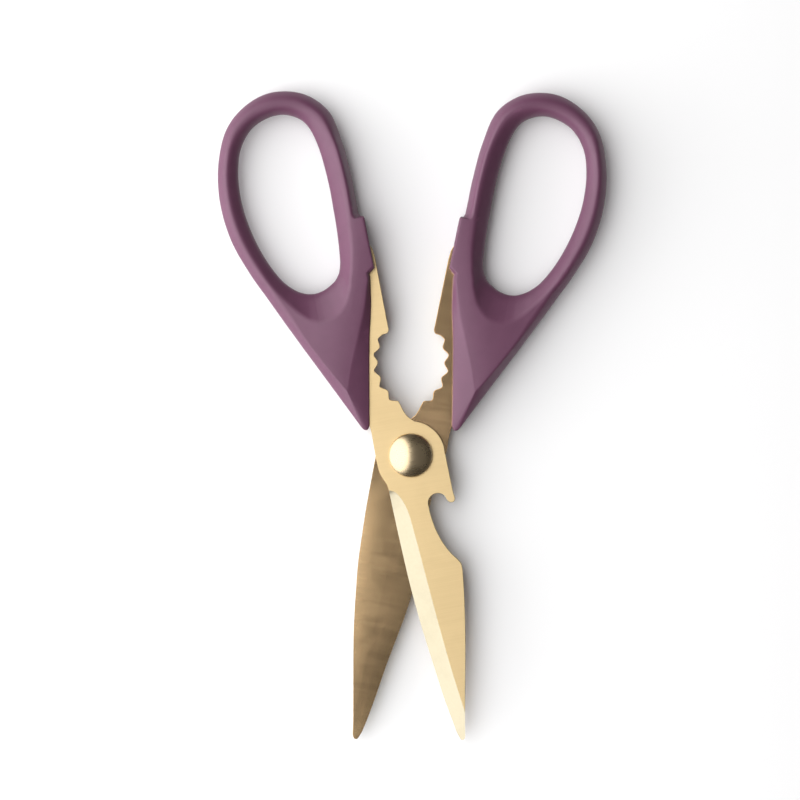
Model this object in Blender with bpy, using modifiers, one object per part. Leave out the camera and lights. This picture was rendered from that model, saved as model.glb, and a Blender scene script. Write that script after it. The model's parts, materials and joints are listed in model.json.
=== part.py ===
"""Multi-purpose kitchen and poultry shears, lying open on a flat surface.

Two halves turn on one pivot. Each half is a flat steel blade whose tang is held in a moulded
handle with a finger loop, and the two handles are one moulding, the rear one turned over.
The tangs carry facing toothed jaws above the pivot, and the front blade has a bottle opener
in its spine. The pivot is a domed nut whose sleeve is the bearing, closed from behind by a
flat-headed screw, with a friction washer between the blades and a spring washer under the
screw's head.

Frame: metres, +Z up. The shears lie on z = 0 with the pivot's axis on x = y = 0, the handles
towards +Y and the blade tips towards -Y. Sizes below are in millimetres. A half is drawn
upright, as it stands when the shears are closed, with its handle on the -X side and with
z = 0 on the plane where the two blades meet. The last step turns it to its open place.
"""
import math

import bmesh
import bpy
import numpy as np
from mathutils import Matrix

MM = 0.001

# Overall sizes
HANDLE_REACH = 126.2  # pivot to the top of a finger loop
BLADE_REACH = 95.4  # pivot to a blade's tip
HANDLE_THICKNESS = 11.5
BLADE_THICKNESS = 2.5
OPENING = 22.4  # degrees between the halves as they lie

# Fits
FIT = 0.3  # clearance between pieces that touch or slide
BLADE_GAP = 0.3  # between the two blades' inner faces
STOP_GAP = 0.3  # between the handles' stops when the shears are closed

# Blades
BOSS_RADIUS = 11.35  # round of the blade about the pivot
GRIND_DROP = 2.2  # how far the ground bevel falls from the outer face
GRIND_WIDTH = 6.2  # across the bevel, where it is widest
TANG_EDGE = 0.75  # how far a tang's inner edge stands past the middle line
KEY_HOLES = ((-10.6, 36.0, 2.5), (-5.2, 56.5, 1.5))  # in the tang: x, y, radius

# Toothed jaw: hollows on an arc, with teeth between them
JAW_CENTRE = (11.5, 29.5)
JAW_RADIUS = 17.95  # to the bottom of a hollow
JAW_FIRST = 145.0  # degrees, the uppermost hollow
JAW_PITCH = 17.4
JAW_HOLLOWS = 5
TOOTH_HEIGHT = 1.45
JAW_TOP = 41.3  # where the jaw ends and the straight tang begins

# Bottle opener: a round notch in the front blade's spine, under a hook
OPENER_CENTRE = (5.9, -17.1)
OPENER_RADIUS = 3.2

# Handle
LOOP_EDGE = 1.3  # half the height of the loop's side walls
LOOP_DROP = 1.7  # how much lower than the stop the loop's crest lies, on each side
CROWN_WIDTH = 14.0  # from the highest line of the handle's top, over which it falls away
LOOP_CREST = 0.8  # width of the flat along the loop's crest
LIP = 0.45  # plastic beside the tang's slot, at the wedge's edge
STOP_CHAMFER = 0.9
STOP_TOP = 79.7  # upper end of the stop

# Pivot
SLEEVE_RADIUS = 3.5
SLEEVE_SHORT = 0.4  # how far the sleeve stops short of the rear blade's outer face
SCREW_RADIUS = 2.1
DOME_RADIUS = 7.2
DOME_RIM = 0.6  # height of the straight rim under the dome
DOME_RISE = 2.6  # from the rim to the top of the dome
HEAD_RADIUS = 6.2  # the screw's flat head
HEAD_CHAMFER = 0.4
WASHER_RADIUS = 5.6
WASHER_THICKNESS = 0.5
DRIVE_OFFSET = 3.6  # spanner holes in the screw's head, from its middle
DRIVE_RADIUS = 0.8

# The outlines are drawn for these two reaches, and are stretched to the ones above.
DRAWN_HANDLE_REACH = 126.2
DRAWN_BLADE_REACH = 95.4
GRIND_FROM = -40.0  # the blade stretches beyond this height

# Levels above the plane where the blades meet
INNER_FACE = BLADE_GAP / 2
OUTER_FACE = INNER_FACE + BLADE_THICKNESS
HANDLE_HALF = HANDLE_THICKNESS / 2
FACET_EDGE = OUTER_FACE + FIT + LIP
STOP_EDGE = HANDLE_HALF - STOP_CHAMFER
STOP_FACE = -STOP_GAP / 2

GOLD = ("satin_gold_steel", (0.83, 0.62, 0.33, 1.0), 1.0, 0.3)
PURPLE = ("matte_purple_plastic", (0.19, 0.085, 0.135, 1.0), 0.0, 0.55)
ACETAL = ("black_acetal", (0.03, 0.03, 0.03, 1.0), 0.0, 0.45)
SPRING_STEEL = ("spring_steel", (0.45, 0.45, 0.46, 1.0), 1.0, 0.35)


# ---------------------------------------------------------------- outlines

def lift(y):
    """Height of a point above the pivot, once the handle is stretched to its reach."""
    if y <= JAW_TOP:
        return y
    return JAW_TOP + (y - JAW_TOP) * (HANDLE_REACH - JAW_TOP) / (DRAWN_HANDLE_REACH - JAW_TOP)


def drop(y):
    """Height of a point below the pivot, once the blade is stretched to its reach."""
    if y >= GRIND_FROM:
        return y
    stretch = (BLADE_REACH + GRIND_FROM) / (DRAWN_BLADE_REACH + GRIND_FROM)
    return GRIND_FROM + (y - GRIND_FROM) * stretch


def smooth(points, steps=4):
    """Points on a smooth open curve through the given ones (centripetal Catmull-Rom)."""
    rows = [np.array(point, dtype=float) for point in points]
    rows = [2 * rows[0] - rows[1]] + rows + [2 * rows[-1] - rows[-2]]
    curve = [rows[1]]
    for p0, p1, p2, p3 in zip(rows, rows[1:], rows[2:], rows[3:]):
        t1 = np.linalg.norm(p1 - p0) ** 0.5
        t2 = t1 + np.linalg.norm(p2 - p1) ** 0.5
        t3 = t2 + np.linalg.norm(p3 - p2) ** 0.5
        for step in range(1, steps + 1):
            t = t1 + (t2 - t1) * step / steps
            a1 = (p0 * (t1 - t) + p1 * t) / t1
            a2 = (p1 * (t2 - t) + p2 * (t - t1)) / (t2 - t1)
            a3 = (p2 * (t3 - t) + p3 * (t - t2)) / (t3 - t2)
            b1 = (a1 * (t2 - t) + a2 * t) / t2
            b2 = (a2 * (t3 - t) + a3 * (t - t1)) / (t3 - t1)
            curve.append((b1 * (t2 - t) + b2 * (t - t1)) / (t2 - t1))
    return curve


def arc(centre, radius, start, end, steps):
    """Points along an arc from one angle to another, in degrees."""
    angles = [math.radians(start + (end - start) * i / steps) for i in range(steps + 1)]
    return [(centre[0] + radius * math.cos(a), centre[1] + radius * math.sin(a)) for a in angles]


def circle(centre, radius, steps=32):
    """Points around a full circle."""
    return arc(centre, radius, 0.0, 360.0, steps)[:-1]


def joined(*runs):
    """One closed outline from runs of points, with the points that two runs share kept once."""
    outline = []
    for run in runs:
        for point in run:
            if not outline or math.dist(outline[-1], point) > 0.02:
                outline.append((float(point[0]), float(point[1])))
    if math.dist(outline[0], outline[-1]) < 0.02:
        outline.pop()
    return outline


def grown(outline, distance):
    """A closed outline, drawn anticlockwise, moved outwards by a distance."""
    moved = []
    for before, here, after in zip(outline[-1:] + outline[:-1], outline, outline[1:] + outline[:1]):
        side_in = np.subtract(here, before) / math.dist(here, before)
        side_out = np.subtract(after, here) / math.dist(after, here)
        along = side_in + side_out
        normal = np.array((along[1], -along[0])) / np.linalg.norm(along)
        moved.append((here[0] + normal[0] * distance, here[1] + normal[1] * distance))
    return moved


def jaw_run():
    """The toothed jaw, from the tooth nearest the pivot up to the topmost hollow."""
    steps = 6
    run = []
    for step in range(int((JAW_HOLLOWS - 0.5) * 2 * steps), -1, -1):
        turn = step / (2 * steps)
        angle = math.radians(JAW_FIRST + JAW_PITCH * turn)
        tooth = math.sin(math.pi * turn) ** 2
        radius = JAW_RADIUS - TOOTH_HEIGHT * tooth ** 0.8
        run.append((JAW_CENTRE[0] + radius * math.cos(angle), JAW_CENTRE[1] + radius * math.sin(angle)))
    return run


def tang_runs():
    """The blade above the pivot, from the boss up the jaw, over the tang and down its back."""
    boss = arc((0, 0), BOSS_RADIUS, -5, 73, 14)
    jaw = jaw_run()
    throat = smooth([boss[-1], (1.4, 12.9), (0.5, 14.8), (0.0, 16.6), jaw[0]])
    corner = [jaw[-1], (-1.6, 40.7), (0.1, 41.0), (TANG_EDGE, JAW_TOP + 0.7)]
    top = [(TANG_EDGE, 66), (TANG_EDGE - 0.4, 69.3), (-0.9, 71.5), (-3.2, 72.3), (-5.6, 71.3)]
    back = [(-6.8, 67), (-7.4, 60), (-9.6, 52), (-14.4, 44), (-16.4, 36), (-15.2, 27), (-12.8, 18)]
    upper = [(x, lift(y)) for x, y in top + back]
    shoulder = [(-BOSS_RADIUS, 11), (-BOSS_RADIUS, 5), (-BOSS_RADIUS, 0), (-11.1, -3.8), (-10.2, -6.4)]
    return boss, throat, jaw, smooth(corner), smooth(upper + shoulder, 3)


def front_blade_outline():
    """The front blade, anticlockwise from its tip: spine with the opener, tang, cutting edge."""
    spine = [(0.3, -94.2), (1.0, -90), (3.0, -80), (5.0, -70), (6.9, -60), (8.8, -48), (9.8, -40)]
    cheek = [(9.8, -40), (9.7, -38.2), (8.9, -36.6), (7.0, -34), (5.0, -30), (3.5, -25), (2.8, -20)]
    notch = arc(OPENER_CENTRE, OPENER_RADIUS, 180, 35, 12)
    hook = [notch[-1], (9.2, -16.9), (10.0, -17.5), (10.9, -17.1), (BOSS_RADIUS, -15.6)]
    heel = [(-10.2, -6.4), (-9.5, -8.0), (-9.2, -10)]
    edge = [(-9.2, -10), (-9.0, -20), (-8.7, -30), (-8.2, -42), (-7.2, -55), (-5.5, -70)]
    point = [(-4.3, -80), (-3.0, -88), (-2.0, -93.4), (-1.1, -DRAWN_BLADE_REACH), (0.3, -94.2)]
    low_edge = [(x, drop(y)) for x, y in edge + point[:-1]]
    return joined([(0.3, drop(-94.2))], smooth([(x, drop(y)) for x, y in spine], 2),
                  smooth([(x, drop(y)) for x, y in cheek], 3), smooth([(2.8, -20), notch[0]], 1),
                  notch, smooth(hook, 3), *tang_runs(), smooth(heel, 3), smooth(low_edge, 3))


def rear_blade_outline():
    """The rear blade, drawn the same way round, with a plain spine and a fuller belly."""
    spine = [(0.3, -94.2), (1.0, -90), (3.0, -80), (5.0, -70), (6.9, -60), (8.8, -47), (9.9, -38)]
    upper_spine = [(10.4, -30), (10.9, -20), (11.1, -10)]
    heel = [(-10.2, -6.4), (-9.7, -8.0), (-9.5, -10)]
    edge = [(-9.5, -10), (-9.8, -25), (-9.8, -38), (-9.5, -46), (-8.7, -53), (-7.6, -60)]
    point = [(-6.0, -70), (-4.7, -80), (-3.5, -88), (-2.4, -93.2), (-1.3, -DRAWN_BLADE_REACH)]
    whole_spine = [(x, drop(y)) for x, y in spine + upper_spine]
    low_edge = [(x, drop(y)) for x, y in edge + point]
    return joined(smooth(whole_spine, 2), *tang_runs(), smooth(heel, 3), smooth(low_edge, 3))


def grind_outline():
    """The ground bevel seen from above, past the cutting edge and the tip on every side."""
    run_out = smooth([(-14, -9.6), (-8.6, -10.4), (-6.4, -12.2), (-5.1, -16), (-4.2, -21)], 3)
    line = [(-4.2, -21), (-3.3, -32), (-0.2, drop(-70)), (2.7, drop(-98))]
    return joined(run_out, line, [(-14, drop(-98))])


# ---------------------------------------------------------------- handle sections

def loop_station(outer, hole, crest=0.45):
    """A section of the loop: a roof whose crest is a share of the way in from its outer edge."""
    outer = np.array(outer)
    hole = np.array(hole)
    flat = LOOP_CREST / 2 / np.linalg.norm(hole - outer)
    ridge = outer + (hole - outer) * (crest - flat)
    inner = outer + (hole - outer) * (crest + flat)
    return (*outer, LOOP_EDGE, *ridge, *inner, *hole)


def wedge_station(outer, edge, ridge, crest, hole):
    """A section through the wedge or the stop, flat on top between its ridge and its crest."""
    return (*outer, edge, *ridge, *crest, *hole)


def handle_runs():
    """Sections around the finger hole, anticlockwise from the stop, in runs that meet in corners.

    Each section is (outer x, y, half-height, ridge x, y, crest x, y, hole x, y).
    """
    above_stop = [
        loop_station((-1.4, 81.4), (-9.8, 81.0), 0.42),
        loop_station((-1.8, 84.5), (-9.75, 84.5), 0.42),
        loop_station((-1.8, 93), (-9.7, 93), 0.42),
        loop_station((-2.7, 106), (-10.8, 106), 0.42),
        loop_station((-5.4, 117), (-13.4, 113.9), 0.46),
        loop_station((-12.4, 123.8), (-17.9, 117.5), 0.52),
        loop_station((-22.3, DRAWN_HANDLE_REACH), (-23.6, 118.4), 0.57),
        loop_station((-31.6, 123.6), (-30.6, 116.0), 0.52),
        loop_station((-39.3, 117.2), (-35.6, 110.4), 0.46),
        loop_station((-44.3, 106), (-38.3, 102.2)),
        loop_station((-46.1, 93.5), (-39.0, 92.5)),
        loop_station((-44.8, 80.5), (-37.7, 82.2)),
        loop_station((-40.5, 68), (-34.6, 72)),
        wedge_station((-36.8, 60), LOOP_EDGE, (-34.1, 61.3), (-33.3, 61.7), (-30.9, 64.7)),
        wedge_station((-33.4, 52.5), LOOP_EDGE, (-30.5, 54.2), (-28.4, 54.6), (-27.5, 60.9)),
        wedge_station((-28, 41), LOOP_EDGE, (-25.0, 42.7), (-24.6, 50.3), (-24.3, 59.0)),
        wedge_station((-20, 24.3), 2.6, (-17.9, 28.0), (-21.6, 48.8), (-21.5, 58.3)),
        wedge_station((-14.3, 12.4), FACET_EDGE, (-16.9, 25.6), (-20.0, 48.4), (-20.6, 58.3)),
    ]
    tip = [
        above_stop[-1],
        wedge_station((-13.5, 11.2), FACET_EDGE, (-16.7, 25.0), (-19.7, 48.4), (-20.2, 58.3)),
        wedge_station((-12.4, 10.9), FACET_EDGE, (-16.5, 24.8), (-19.4, 48.4), (-19.8, 58.4)),
        wedge_station((-11.4, 12.2), FACET_EDGE, (-16.1, 25.6), (-18.8, 48.5), (-19.2, 58.5)),
    ]
    blade_side = [
        tip[-1],
        wedge_station((-10.0, 20), FACET_EDGE, (-13.9, 32.0), (-17.0, 48.9), (-18.0, 58.8)),
        wedge_station((-6.1, 40), FACET_EDGE, (-10.3, 42.8), (-14.2, 50.2), (-15.9, 59.6)),
        wedge_station((-3.7, 50), FACET_EDGE, (-7.4, 51.0), (-11.4, 53.2), (-13.6, 61.1)),
        wedge_station((-2.0, 60), FACET_EDGE, (-4.2, 59.6), (-9.2, 57.9), (-11.9, 63.4)),
    ]
    step = [
        blade_side[-1],
        wedge_station((-2.1, 61.2), FACET_EDGE + 0.4, (-3.2, 62.0), (-8.7, 60.2), (-11.3, 65.0)),
    ]
    slant = [
        step[-1],
        wedge_station((STOP_FACE, 62.8), STOP_EDGE, (STOP_FACE - STOP_CHAMFER, 63.5),
                      (-7.8, 62.9), (-10.8, 67.0)),
    ]
    stop = [
        slant[-1],
        wedge_station((STOP_FACE, 71), STOP_EDGE, (STOP_FACE - STOP_CHAMFER, 71),
                      (-6.2, 70.5), (-10.2, 73.0)),
        wedge_station((STOP_FACE, STOP_TOP), STOP_EDGE, (STOP_FACE - STOP_CHAMFER, STOP_TOP - 0.7),
                      (-5.6, 79.0), (-9.85, 79.3)),
    ]
    shoulder = [stop[-1], above_stop[0]]
    return above_stop, tip, blade_side, step, slant, stop, shoulder


def top_at(x, y):
    """Half-height of the handle's top: a low crown, highest near the wedge's inner ridge."""
    away = -0.943 * (x + 16.5) + 0.333 * (y - 24.8) - 4.0
    return HANDLE_HALF - LOOP_DROP * (1 - math.exp(-(away / CROWN_WIDTH) ** 2))


def handle_sections():
    """Closed rings of eight points around the handle, one for each station, in millimetres."""
    above_stop, tip, blade_side, *straight_runs = handle_runs()
    stations = smooth(above_stop, 4) + smooth(tip, 2)[1:] + smooth(blade_side, 3)[1:]
    for run in straight_runs:
        stations += [np.array(station) for station in run[1:]]
    stations.pop()
    rings = []
    for station in stations:
        outer_x, outer_y, edge, ridge_x, ridge_y, crest_x, crest_y, hole_x, hole_y = station
        upper = [
            (hole_x, lift(hole_y), LOOP_EDGE),
            (crest_x, lift(crest_y), top_at(crest_x, crest_y)),
            (ridge_x, lift(ridge_y), top_at(ridge_x, ridge_y)),
            (outer_x, lift(outer_y), edge),
        ]
        lower = [(x, y, -z) for x, y, z in reversed(upper)]
        rings.append(upper + lower)
    return rings


# ---------------------------------------------------------------- building

def clear_scene():
    """Remove every object, so that the script always starts from an empty scene."""
    for obj in list(bpy.data.objects):
        bpy.data.objects.remove(obj, do_unlink=True)


def collection(name):
    """A new collection in the scene."""
    group = bpy.data.collections.new(name)
    bpy.context.scene.collection.children.link(group)
    return group


def material(name, colour, metallic, roughness):
    """The material of this name, made the first time that it is asked for."""
    found = bpy.data.materials.get(name)
    if found:
        return found
    made = bpy.data.materials.new(name)
    made.use_nodes = True
    shader = made.node_tree.nodes["Principled BSDF"]
    shader.inputs["Base Color"].default_value = colour
    shader.inputs["Metallic"].default_value = metallic
    shader.inputs["Roughness"].default_value = roughness
    return made


def add_object(name, mesh, group, parent):
    """A mesh object in a collection, placed under the empty that carries its half."""
    obj = bpy.data.objects.new(name, mesh)
    group.objects.link(obj)
    obj.parent = parent
    return obj


def shade_round(mesh, angle=35.0):
    """Smooth shading that keeps edges sharper than the angle."""
    mesh.shade_smooth()
    mesh.set_sharp_from_angle(angle=math.radians(angle))


def plate_mesh(name, outlines, low, high):
    """A flat plate between two levels: the first outline is its edge, the rest are holes."""
    curve = bpy.data.curves.new(name, "CURVE")
    curve.dimensions = "2D"
    curve.fill_mode = "BOTH"
    curve.extrude = (high - low) / 2 * MM
    for outline in outlines:
        spline = curve.splines.new("POLY")
        spline.points.add(len(outline) - 1)
        for point, (x, y) in zip(spline.points, outline):
            point.co = (x * MM, y * MM, 0.0, 1.0)
        spline.use_cyclic_u = True
    guide = bpy.data.objects.new(name + "_outline", curve)
    bpy.context.scene.collection.objects.link(guide)
    bpy.context.view_layer.update()
    mesh = bpy.data.meshes.new_from_object(guide.evaluated_get(bpy.context.evaluated_depsgraph_get()))
    bpy.data.objects.remove(guide, do_unlink=True)
    mesh.name = name
    mesh.transform(Matrix.Translation((0.0, 0.0, (low + high) / 2 * MM)))
    shell = bmesh.new()
    shell.from_mesh(mesh)
    bmesh.ops.remove_doubles(shell, verts=shell.verts, dist=1e-6)
    bmesh.ops.recalc_face_normals(shell, faces=shell.faces)
    shell.to_mesh(mesh)
    shell.free()
    return mesh


def turned_mesh(name, profile, steps=40):
    """A solid turned about Z from a profile that runs down its outer side, top to bottom."""
    mesh = bpy.data.meshes.new(name)
    mesh.from_pydata([(r * MM, 0.0, z * MM) for r, z in profile],
                     [(i, i + 1) for i in range(len(profile) - 1)], [])
    spun = bpy.data.objects.new(name + "_profile", mesh)
    bpy.context.scene.collection.objects.link(spun)
    screw = spun.modifiers.new("Turn", "SCREW")
    screw.steps = steps
    screw.render_steps = steps
    screw.use_merge_vertices = True
    screw.merge_threshold = 1e-6
    bpy.context.view_layer.update()
    solid = bpy.data.meshes.new_from_object(spun.evaluated_get(bpy.context.evaluated_depsgraph_get()))
    bpy.data.objects.remove(spun, do_unlink=True)
    solid.name = name
    shade_round(solid)
    return solid


def cut(target, tool):
    """Take one object's shape out of another."""
    modifier = target.modifiers.new("Cut " + tool.name, "BOOLEAN")
    modifier.operation = "DIFFERENCE"
    modifier.solver = "EXACT"
    modifier.object = tool
    tool.hide_render = True
    tool.display_type = "WIRE"


def half_frame(name, group, turned_over, angle):
    """The empty on the pivot that carries one half and turns it to its open place."""
    frame = bpy.data.objects.new(name, None)
    group.objects.link(frame)
    frame.location = (0.0, 0.0, HANDLE_HALF * MM)
    frame.rotation_euler = (0.0, math.pi if turned_over else 0.0, math.radians(angle))
    return frame


def grind_cutter(name, tools, frame):
    """The wedge that the grinder takes off the outer face, down to the cutting edge."""
    reach = 6.0
    mesh = plate_mesh(name, [grind_outline()], OUTER_FACE - reach, OUTER_FACE + reach)
    line_start = np.array((-3.3, -32.0))
    line_end = np.array((-0.2, drop(-70)))
    along = (line_end - line_start) / np.linalg.norm(line_end - line_start)
    for vertex in mesh.vertices:
        if vertex.co.z < OUTER_FACE * MM:
            offset = np.array((vertex.co.x, vertex.co.y)) / MM - line_start
            across = offset[1] * along[0] - offset[0] * along[1]
            vertex.co.z = (OUTER_FACE + GRIND_DROP * across / GRIND_WIDTH) * MM
    return add_object(name, mesh, tools, frame)


def blade(name, outline, parts, tools, frame):
    """A blade: a flat plate with its pivot hole and key holes, ground along its edge."""
    pivot_hole = circle((0, 0), SLEEVE_RADIUS + FIT)
    key_holes = [circle((x, lift(y)), radius, 20) for x, y, radius in KEY_HOLES]
    mesh = plate_mesh(name, [outline, pivot_hole, *key_holes], INNER_FACE, OUTER_FACE)
    shade_round(mesh)
    obj = add_object(name, mesh, parts, frame)
    obj.data.materials.append(material(*GOLD))
    cut(obj, grind_cutter(name + "_grind", tools, frame))
    return obj


def handle(name, outline, parts, tools, frame):
    """A handle: a loft around the finger hole, with a slot for the tang and pegs through it."""
    rings = handle_sections()
    shell = bmesh.new()
    grid = [[shell.verts.new((x * MM, y * MM, z * MM)) for x, y, z in ring] for ring in rings]
    for ring, following in zip(grid, grid[1:] + grid[:1]):
        for i in range(len(ring)):
            j = (i + 1) % len(ring)
            shell.faces.new((ring[i], ring[j], following[j], following[i]))
    bmesh.ops.recalc_face_normals(shell, faces=shell.faces)
    mesh = bpy.data.meshes.new(name)
    shell.to_mesh(mesh)
    shell.free()
    shade_round(mesh, 20.0)
    obj = add_object(name, mesh, parts, frame)
    obj.data.materials.append(material(*PURPLE))

    pegs = [circle((x, lift(y)), radius - FIT, 20) for x, y, radius in KEY_HOLES]
    slot = plate_mesh(name + "_slot", [grown(outline, FIT), *pegs], INNER_FACE - FIT, OUTER_FACE + FIT)
    cut(obj, add_object(name + "_slot", slot, tools, frame))

    relief_edge = -TANG_EDGE - FIT
    low = lift(58)
    high = lift(75)
    pocket = [(relief_edge, low), (relief_edge + 5, low), (relief_edge + 5, high), (relief_edge, high)]
    relief = plate_mesh(name + "_relief", [pocket], -OUTER_FACE - FIT, INNER_FACE - FIT / 2)
    cut(obj, add_object(name + "_relief", relief, tools, frame))
    return obj


def pivot_nut(parts, frame):
    """The domed nut, with the sleeve that the blades turn on and a blind hole for the screw."""
    seat = OUTER_FACE + FIT
    rim = seat + DOME_RIM
    sphere = (DOME_RADIUS ** 2 + DOME_RISE ** 2) / (2 * DOME_RISE)
    widest = math.degrees(math.asin(DOME_RADIUS / sphere))
    dome = arc((0, rim + DOME_RISE - sphere), sphere, 90, 90 - widest, 12)
    sleeve_end = -OUTER_FACE + SLEEVE_SHORT
    bore = SCREW_RADIUS + FIT
    bore_top = rim + 0.2
    below = [(DOME_RADIUS, seat), (SLEEVE_RADIUS, seat), (SLEEVE_RADIUS, sleeve_end),
             (bore, sleeve_end), (bore, bore_top), (0.0, bore_top)]
    obj = add_object("pivot_nut", turned_mesh("pivot_nut", dome + below), parts, frame)
    obj.data.materials.append(material(*GOLD))


def pivot_screw(parts, tools, frame):
    """The flat-headed screw, with two spanner holes in its head."""
    low = -HANDLE_HALF
    seat = -OUTER_FACE - FIT - WASHER_THICKNESS - FIT
    end = OUTER_FACE + FIT + DOME_RIM - FIT
    profile = [(0.0, end), (SCREW_RADIUS - 0.4, end), (SCREW_RADIUS, end - 0.4), (SCREW_RADIUS, seat),
               (HEAD_RADIUS, seat), (HEAD_RADIUS, low + HEAD_CHAMFER),
               (HEAD_RADIUS - HEAD_CHAMFER, low), (0.0, low)]
    obj = add_object("pivot_screw", turned_mesh("pivot_screw", profile), parts, frame)
    obj.data.materials.append(material(*GOLD))
    depth = (seat - low) / 2
    for side, x in (("left", -DRIVE_OFFSET), ("right", DRIVE_OFFSET)):
        hole = plate_mesh("drive_" + side, [circle((x, 0), DRIVE_RADIUS, 20)], low - depth, low + depth)
        cut(obj, add_object("drive_" + side, hole, tools, frame))


def washer(name, bore, low, finish, parts, frame):
    """A flat washer, standing on a level."""
    rings = [circle((0, 0), WASHER_RADIUS, 40), circle((0, 0), bore, 32)]
    obj = add_object(name, plate_mesh(name, rings, low, low + WASHER_THICKNESS), parts, frame)
    obj.data.materials.append(material(*finish))


def build():
    """The whole pair of shears."""
    clear_scene()
    parts = collection("kitchen_shears")
    tools = collection("cutters")
    front = half_frame("front_half", parts, False, OPENING / 2)
    rear = half_frame("rear_half", parts, True, -OPENING / 2)

    front_outline = front_blade_outline()
    rear_outline = rear_blade_outline()
    blade("front_blade", front_outline, parts, tools, front)
    rear_blade = blade("rear_blade", rear_outline, parts, tools, rear)
    handle("front_handle", front_outline, parts, tools, front)
    handle("rear_handle", rear_outline, parts, tools, rear)

    recess_floor = INNER_FACE + WASHER_THICKNESS + FIT
    recess = plate_mesh("washer_recess", [circle((0, 0), WASHER_RADIUS + FIT, 40)], -1.0, recess_floor)
    cut(rear_blade, add_object("washer_recess", recess, tools, rear))
    washer("friction_washer", SLEEVE_RADIUS + FIT, INNER_FACE, ACETAL, parts, rear)
    washer("spring_washer", SCREW_RADIUS + FIT, OUTER_FACE + FIT, SPRING_STEEL, parts, rear)
    pivot_nut(parts, front)
    pivot_screw(parts, tools, front)


build()
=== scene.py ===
"""Multi-purpose kitchen and poultry shears, lying open on a pale table.

Two steel blades with a satin gold coating turn on a domed pivot, and each has its tang in a plum
plastic handle with a finger loop. Each half is drawn upright, in millimetres, as it stands when
the shears are closed: the pivot at the middle, the handle up and to the left, and z = 0 on the
plane where the two blades meet. A half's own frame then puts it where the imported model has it.
"""
import json
import logging
import math
from dataclasses import dataclass, field
from enum import Enum

import bmesh
import bpy
import numpy as np
from mathutils import Matrix, Vector


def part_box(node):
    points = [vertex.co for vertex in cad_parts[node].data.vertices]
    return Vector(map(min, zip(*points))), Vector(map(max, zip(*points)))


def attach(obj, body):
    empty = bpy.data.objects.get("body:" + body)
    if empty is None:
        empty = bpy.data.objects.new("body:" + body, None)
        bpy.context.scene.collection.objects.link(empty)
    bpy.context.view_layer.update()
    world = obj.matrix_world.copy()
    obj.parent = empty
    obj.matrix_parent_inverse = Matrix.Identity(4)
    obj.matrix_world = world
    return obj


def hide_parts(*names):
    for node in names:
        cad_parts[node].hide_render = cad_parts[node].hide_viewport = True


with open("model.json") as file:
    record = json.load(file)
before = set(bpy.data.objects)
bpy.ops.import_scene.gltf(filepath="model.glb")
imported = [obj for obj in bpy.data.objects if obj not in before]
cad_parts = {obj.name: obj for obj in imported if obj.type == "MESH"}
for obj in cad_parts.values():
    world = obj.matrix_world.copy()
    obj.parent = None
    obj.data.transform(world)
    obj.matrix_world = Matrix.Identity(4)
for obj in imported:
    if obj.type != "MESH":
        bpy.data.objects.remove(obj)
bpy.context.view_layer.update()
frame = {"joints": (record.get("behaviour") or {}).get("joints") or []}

MM = 0.001
SAME_POINT = 0.02  # points of an outline nearer than this are one point, in millimetres
CORNER_SHARE = 0.45  # the most of a side that the rounding of one corner takes
WALL_SHARE = 0.9  # the same for a handle's side wall, which has only one rounded corner
LOG = logging.getLogger("shears")

Point = tuple[float, float]
Point3 = tuple[float, float, float]
Colour = tuple[float, float, float, float]


# ---------------------------------------------------------------- outlines

def smooth(points: list, steps: int) -> list[np.ndarray]:
    """Smooth open curve through points of any number of coordinates (centripetal Catmull-Rom).

    Args:
        points: The points that the curve passes through, in order.
        steps: How many stretches each span between two points is divided into.

    Returns:
        Points along the curve, both ends included.
    """
    rows = [np.array(point, dtype=float) for point in points]
    rows = [2 * rows[0] - rows[1]] + rows + [2 * rows[-1] - rows[-2]]
    curve = [rows[1]]
    for p0, p1, p2, p3 in zip(rows, rows[1:], rows[2:], rows[3:]):
        t1 = np.linalg.norm(p1 - p0) ** 0.5
        t2 = t1 + np.linalg.norm(p2 - p1) ** 0.5
        t3 = t2 + np.linalg.norm(p3 - p2) ** 0.5
        for step in range(1, steps + 1):
            t = t1 + (t2 - t1) * step / steps
            a1 = (p0 * (t1 - t) + p1 * t) / t1
            a2 = (p1 * (t2 - t) + p2 * (t - t1)) / (t2 - t1)
            a3 = (p2 * (t3 - t) + p3 * (t - t2)) / (t3 - t2)
            b1 = (a1 * (t2 - t) + a2 * t) / t2
            b2 = (a2 * (t3 - t) + a3 * (t - t1)) / (t3 - t1)
            curve.append((b1 * (t2 - t) + b2 * (t - t1)) / (t2 - t1))
    return curve


def arc(centre: Point, radius: float, start: float, end: float, steps: int) -> list[Point]:
    """Points along an arc.

    Args:
        centre: The arc's centre.
        radius: The arc's radius.
        start: Angle of the first point, in degrees.
        end: Angle of the last point, in degrees.
        steps: How many stretches the arc is divided into.

    Returns:
        The points, both ends included.
    """
    angles = [math.radians(start + (end - start) * i / steps) for i in range(steps + 1)]
    return [(centre[0] + radius * math.cos(a), centre[1] + radius * math.sin(a)) for a in angles]


def circle(centre: Point, radius: float, steps: int = 64) -> list[Point]:
    """Points around a full circle, anticlockwise."""
    return arc(centre, radius, 0.0, 360.0, steps)[:-1]


def joined(*runs: list) -> list[Point]:
    """One closed outline from runs of points, with the points that two runs share kept once.

    Args:
        *runs: The runs, in order around the outline.

    Returns:
        The outline's points.
    """
    outline: list[Point] = []
    for run in runs:
        for point in run:
            if not outline or math.dist(outline[-1], point) > SAME_POINT:
                outline.append((float(point[0]), float(point[1])))
    if math.dist(outline[0], outline[-1]) < SAME_POINT:
        outline.pop()
    return outline


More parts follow.
